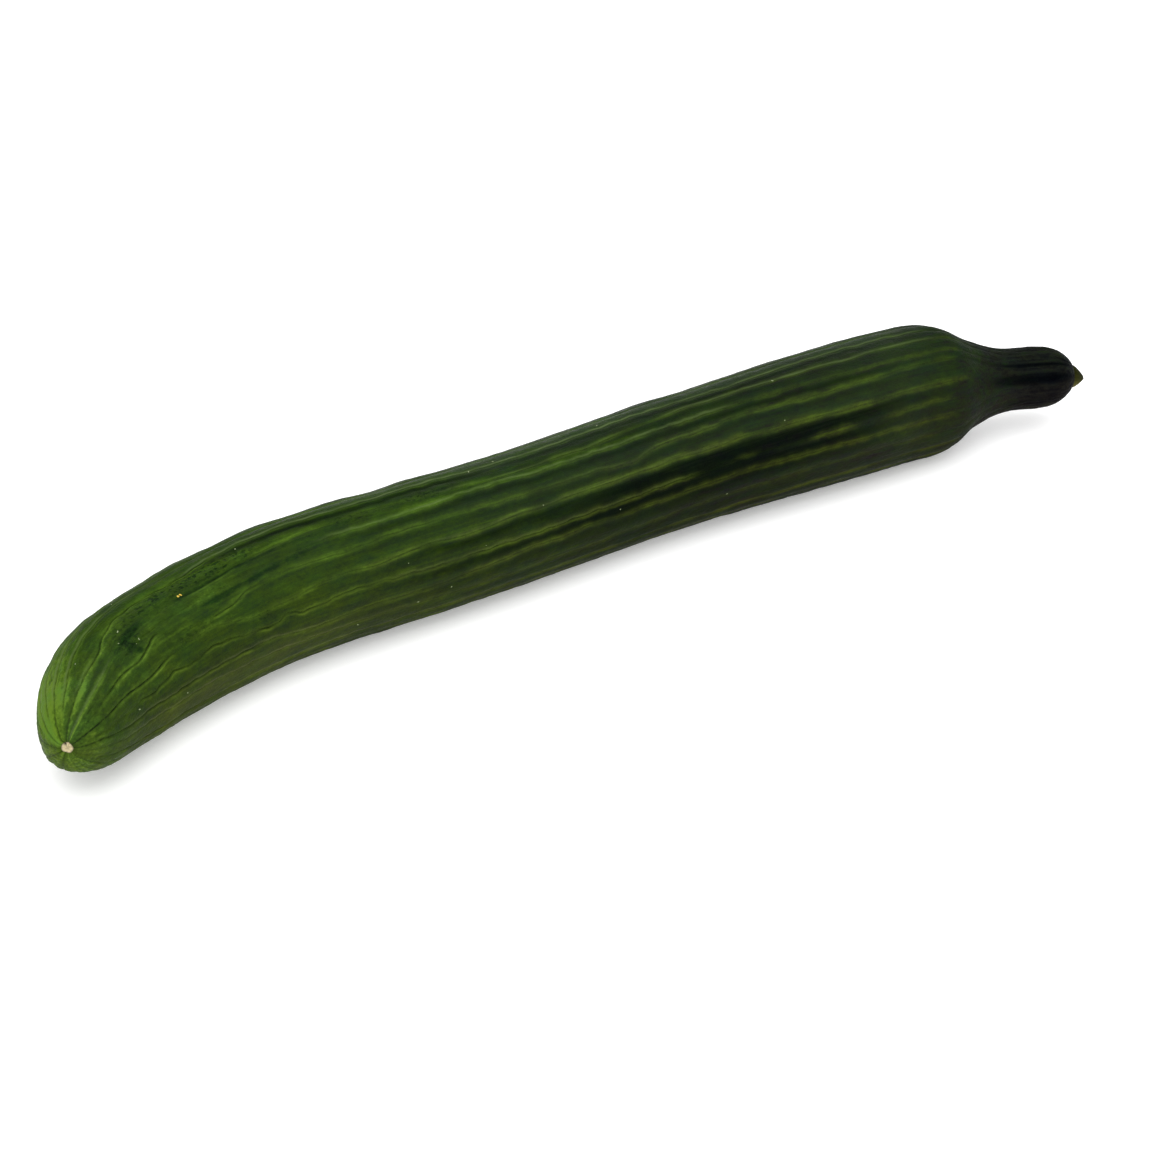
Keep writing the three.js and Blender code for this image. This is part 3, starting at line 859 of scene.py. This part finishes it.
# Two values of a noise, and the shares that it gives there if they aren't 0 and 1.
BLUER_SPREAD = (0.4, 0.7)
BLOTCH_SPREAD = (0.35, 0.75)
DARK_BANDS_AND_PAINTED_SHADE_SPREAD = (0.3, 0.6, 0.7, 1.2)
PAINTED_SHEEN_SPREAD = (0.3, 0.6, 0.4, 1.1)
SEAM_SPREAD = (0.3, 0.6, 0.3, 0.9)
PIT_SPREAD = (0.48, 0.4)

# The scar's cork: size and spread of its crumbs, their colours, the brown of its notch and rim, its depth.
CORK_CRUMB = 0.5
CORK_SPREAD = (0.45, 0.75)
CORK_COLOURS = ((0.62, 0.54, 0.33), (0.42, 0.33, 0.16))
CORK_BROWN = (0.035, 0.03, 0.008)
CORK_DEPTH = 0.15

# Scurf: size and spread of its crumbs, and the two colours of each kind.
SCURF_CRUMB = 0.3
SCURF_SPREAD = (0.4, 0.7)
PALE_SCURF = ((0.24, 0.28, 0.15), (0.10, 0.13, 0.05))
YELLOW_SCURF = ((0.62, 0.42, 0.05), (0.40, 0.26, 0.03))
DRY_ROUGHNESS = 0.85

# The stub: colours from its underside to its top, its fibres with their sway and depth, and its cut's colour.
STUB_COLOURS = ((0.2, (0.085, 0.076, 0.024)), (0.5, (0.022, 0.023, 0.004)), (0.8, (0.011, 0.012, 0.001)))
STUB_FIBRES = (3.0, 0.35)
STUB_SWAY = 0.25
STUB_DEPTH = 0.15
STUB_CUT = (0.28, 0.23, 0.06)
STUB_ROUGHNESS = 0.6
STUB_SHINE = 0.02


class Tree:
    """Short calls that build a material's nodes, from numbers and other nodes' outputs."""

    def __init__(self, name):
        self.material = bpy.data.materials.new(name)
        self.material.use_nodes = True
        self.nodes = self.material.node_tree.nodes
        self.links = self.material.node_tree.links
        self.surface = self.nodes["Principled BSDF"]

    def add(self, kind, sockets, **settings):
        """A node with these settings and with these values in its sockets."""
        node = self.nodes.new(kind)
        for name, value in settings.items():
            setattr(node, name, value)
        for name, value in sockets.items():
            self.put(node.inputs[name], value)
        return node

    def put(self, socket, value):
        """Links another node's output to a socket, or sets a constant on it."""
        if isinstance(value, bpy.types.NodeSocket):
            self.links.new(value, socket)
        else:
            socket.default_value = value

    def finish(self, sockets):
        """The material, with these values in the sockets of its surface."""
        for name, value in sockets.items():
            self.put(self.surface.inputs[name], value)
        return self.material

    def mark(self, name, output="Fac"):
        """The number, or as "Vector" the place, that the mesh stores under this name."""
        return self.add("ShaderNodeAttribute", {}, attribute_name=name).outputs[output]

    def noise(self, places, length, width, detail=3.0, roughness=0.55):
        """Noise with grains this long along the fruit and this wide round it, in the unit of the places."""
        scale = (1 / length, 1 / width, 1 / width)
        mapped = self.add("ShaderNodeVectorMath", {0: places, 1: scale}, operation="MULTIPLY").outputs[0]
        sockets = {"Vector": mapped, "Scale": 1.0, "Detail": detail, "Roughness": roughness}
        return self.add("ShaderNodeTexNoise", sockets).outputs["Fac"]

    def maths(self, operation, a, b, clamp=False):
        return self.add("ShaderNodeMath", {0: a, 1: b}, operation=operation, use_clamp=clamp).outputs[0]

    def total(self, *values):
        added = values[0]
        for value in values[1:]:
            added = self.maths("ADD", added, value)
        return added

    def swayed(self, value, noises, sways):
        """A value moved up and down by each of these noises, by about this much to each side."""
        for name, by in sways.items():
            centred = self.maths("SUBTRACT", noises[name], 0.5)
            value = self.maths("ADD", value, self.maths("MULTIPLY", centred, 2 * by))
        return value

    def spread(self, value, low, high, to_low=0.0, to_high=1.0):
        """A value from low to high, spread from to_low to to_high."""
        sockets = {"Value": value, "From Min": low, "From Max": high, "To Min": to_low, "To Max": to_high}
        return self.add("ShaderNodeMapRange", sockets).outputs["Result"]

    def uneven_mark(self, name, noise, spread):
        """A mark made uneven by a noise."""
        return self.maths("MULTIPLY", self.mark(name), self.spread(noise, *spread), clamp=True)

    def ramp(self, value, stops):
        node = self.add("ShaderNodeValToRGB", {"Fac": value})
        elements = node.color_ramp.elements
        while len(elements) < len(stops):
            elements.new(1.0)
        for element, (place, colour) in zip(elements, stops):
            element.position = place
            element.color = (*colour, 1)
        return node.outputs["Color"]

    def mix(self, share, a, b, blend="MIX"):
        """Colour a, with this share of colour b over it or, in another blend, acting on it."""
        node = self.add("ShaderNodeMix", {}, data_type="RGBA", blend_type=blend)
        colours = [socket for socket in node.inputs if socket.type == "RGBA"]
        factor = next(socket for socket in node.inputs if socket.type == "VALUE" and socket.enabled)
        self.put(factor, share)
        for socket, colour in zip(colours, (a, b)):
            self.put(socket, (*colour, 1) if isinstance(colour, tuple) else colour)
        return next(socket for socket in node.outputs if socket.type == "RGBA")

    def tint(self, share, colour, tint):
        """The colour, with this share of it multiplied by the tint."""
        return self.mix(share, colour, tint, blend="MULTIPLY")

    def bump(self, height, depth):
        """The facing of a relief of this depth in millimetres."""
        sockets = {"Height": height, "Distance": depth * MM, "Strength": 1.0}
        return self.add("ShaderNodeBump", sockets).outputs["Normal"]


def skin_colour(tree, noises, dark_bands_and_painted_shade):
    """The skin's colour: its ground, tinted, darkened by dark bands and painted shade, and the marks that lie
    over it, painted sheen among them.
    """
    lightness = tree.swayed(tree.mark("tone"), noises, GROUND_SWAYS)
    strength = tree.swayed(STREAK_SHARE, noises, STREAK_SWAYS)
    streak = tree.maths("MULTIPLY", tree.mark("streak"), strength, clamp=True)
    blotch = tree.swayed(tree.mark("blotched"), noises, BLOTCH_SWAYS)
    colour = tree.ramp(lightness, GROUND)
    colour = tree.tint(tree.spread(noises["bluer"], *BLUER_SPREAD), colour, BLUER_TINT)
    # Darken the dark bands and the painted shade and shadow.
    colour = tree.tint(dark_bands_and_painted_shade, colour, DARK_BANDS_AND_PAINTED_SHADE_TINT)
    colour = tree.mix(streak, colour, tree.ramp(lightness, STREAK_COLOURS))
    # Painted sheen: pale highlight lines and patches over the colour.
    colour = tree.mix(tree.uneven_mark("painted_sheen", noises["fibre"], PAINTED_SHEEN_SPREAD), colour, PAINTED_SHEEN_COLOUR)
    colour = tree.tint(tree.mark("belly"), colour, BELLY_TINT)
    colour = tree.tint(tree.spread(blotch, *BLOTCH_SPREAD), colour, BLOTCH_TINT)
    colour = tree.tint(tree.uneven_mark("pitted", noises["pit"], PIT_SPREAD), colour, PIT_TINT)
    return tree.mix(tree.uneven_mark("seam", noises["fibre"], SEAM_SPREAD), colour, SEAM_COLOUR)


def skin_material():
    """Waxy green skin: a ground that pales towards the blossom end, mottling, streaks, dark seams, painted
    sheen lines and painted shade.
    """
    tree = Tree("cucumber_skin")
    grown = tree.mark("grown", "Vector")
    noises = {name: tree.noise(grown, *grains) for name, grains in SKIN_NOISES.items()}
    # Dark bands, painted shade and a painted shadow; they also lessen the shine.
    dark_bands_and_painted_shade = tree.uneven_mark("dark_bands_and_painted_shade", noises["streaky"], DARK_BANDS_AND_PAINTED_SHADE_SPREAD)
    dull = tree.maths("ADD", tree.mark("dull"), dark_bands_and_painted_shade)
    pits = tree.maths("MULTIPLY", noises["pit"], tree.mark("pitted"))
    parts = [tree.maths("MULTIPLY", noises[name], part) for name, part in RELIEF_PARTS.items()]
    height = tree.total(*parts, tree.maths("MULTIPLY", pits, PIT_PART))
    return tree.finish({
        "Base Color": skin_colour(tree, noises, dark_bands_and_painted_shade),
        "Roughness": tree.spread(noises["mottle"], *ROUGHNESS_SPREAD, *SKIN_ROUGHNESS),
        "Specular IOR Level": tree.spread(dull, 0.0, 1.0, *SKIN_SHINE),
        "Normal": tree.bump(height, RELIEF_DEPTH),
    })


def cork_material():
    """The dry cream cork of the scar, with a crumbly face, brown in its notch and along its rim."""
    tree = Tree("scar_cork")
    crumbs = tree.noise(tree.mark("grown", "Vector"), CORK_CRUMB, CORK_CRUMB)
    face = tree.mix(tree.spread(crumbs, *CORK_SPREAD), *CORK_COLOURS)
    return tree.finish({
        "Base Color": tree.mix(tree.mark("cut"), face, CORK_BROWN),
        "Roughness": DRY_ROUGHNESS,
        "Normal": tree.bump(crumbs, CORK_DEPTH),
    })


def scurf_material(name, light, dark):
    """Dry scurf, mottled between two colours."""
    tree = Tree(name)
    places = tree.add("ShaderNodeTexCoord", {}).outputs["Object"]
    crumbs = tree.noise(places, SCURF_CRUMB * MM, SCURF_CRUMB * MM)
    colour = tree.mix(tree.spread(crumbs, *SCURF_SPREAD), light, dark)
    return tree.finish({"Base Color": colour, "Roughness": DRY_ROUGHNESS})


def stub_material():
    """The stub of the stem: olive on top, dry tan below and on its cut, with fibres along it."""
    tree = Tree("stem_cut")
    fibres = tree.noise(tree.mark("grown", "Vector"), *STUB_FIBRES)
    upness = tree.swayed(tree.mark("upward"), {"fibres": fibres}, {"fibres": STUB_SWAY})
    return tree.finish({
        "Base Color": tree.mix(tree.mark("cut"), tree.ramp(upness, STUB_COLOURS), STUB_CUT),
        "Roughness": STUB_ROUGHNESS,
        "Specular IOR Level": STUB_SHINE,
        "Normal": tree.bump(fibres, STUB_DEPTH),
    })


# Studio

# Camera: place in metres, degrees to the right of +Y and degrees downward, and the focal length in the pixels
# of a picture this wide.
CAMERA_PLACE = (-0.42953, -0.58221, 0.379)
CAMERA_RIGHT = 36
CAMERA_DOWN = 28
PICTURE_PIXELS = 1170
FOCAL_PIXELS = 2700
SENSOR_WIDTH = 36

# A matt white floor, in metres, that glows a little, so that only soft shadows show on it.
WHITE = (1, 1, 1, 1)
FLOOR_SIZE = 8.0
FLOOR_SURFACE = {
    "Base Color": (0.9, 0.9, 0.9, 1), "Roughness": 0.9, "Specular IOR Level": 0.1,
    "Emission Color": WHITE, "Emission Strength": 0.25,
}
WORLD_STRENGTH = 1.0

# Soft distant lights: name, the place whose side they shine from, spread in degrees and strength.
LIGHTS = (("overhead", (-0.3, -0.5, 1.8), 60, 1.4), ("front", (-0.9, -1.5, 0.9), 55, 1.1))


def make_camera():
    data = bpy.data.cameras.new("camera")
    data.sensor_width = SENSOR_WIDTH
    data.lens = SENSOR_WIDTH * FOCAL_PIXELS / PICTURE_PIXELS
    camera = scene_object("camera", data)
    camera.location = CAMERA_PLACE
    camera.rotation_euler = (math.radians(FULL_TURN / 4 - CAMERA_DOWN), 0, -math.radians(CAMERA_RIGHT))
    bpy.context.scene.camera = camera


def make_floor():
    half = FLOOR_SIZE / 2 / MM
    corners = [(-half, -half, 0), (half, -half, 0), (half, half, 0), (-half, half, 0)]
    floor = new_object("floor", corners, [(0, 1, 2, 3)], [Tree("studio_floor").finish(FLOOR_SURFACE)], [0])


def make_light(name, place, spread, strength):
    data = bpy.data.lights.new(name, "SUN")
    data.angle = math.radians(spread)
    data.energy = strength
    light = scene_object(name, data)
    light.location = place
    light.rotation_euler = (-Vector(place)).to_track_quat("-Z", "Y").to_euler()


def make_world():
    world = bpy.data.worlds.new("studio")
    world.use_nodes = True
    background = world.node_tree.nodes["Background"]
    background.inputs["Color"].default_value = WHITE
    background.inputs["Strength"].default_value = WORLD_STRENGTH
    bpy.context.scene.world = world


make_camera()
bpy.context.scene.view_settings.view_transform = "Standard"
make_world()
make_floor()
for settings in LIGHTS:
    make_light(*settings)

skin = Skin()
body = fruit(skin, [skin_material(), cork_material(), stub_material()])
pale = scurf_material("pale_scurf", *PALE_SCURF)
yellow = scurf_material("yellow_scurf", *YELLOW_SCURF)
scurf = specks(skin, [pale, yellow])
to_frame = Matrix.Translation(frame_shift(body))
for piece in (body, scurf):
    piece.data.transform(to_frame)
    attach(piece, "root")
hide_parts("cucumber")
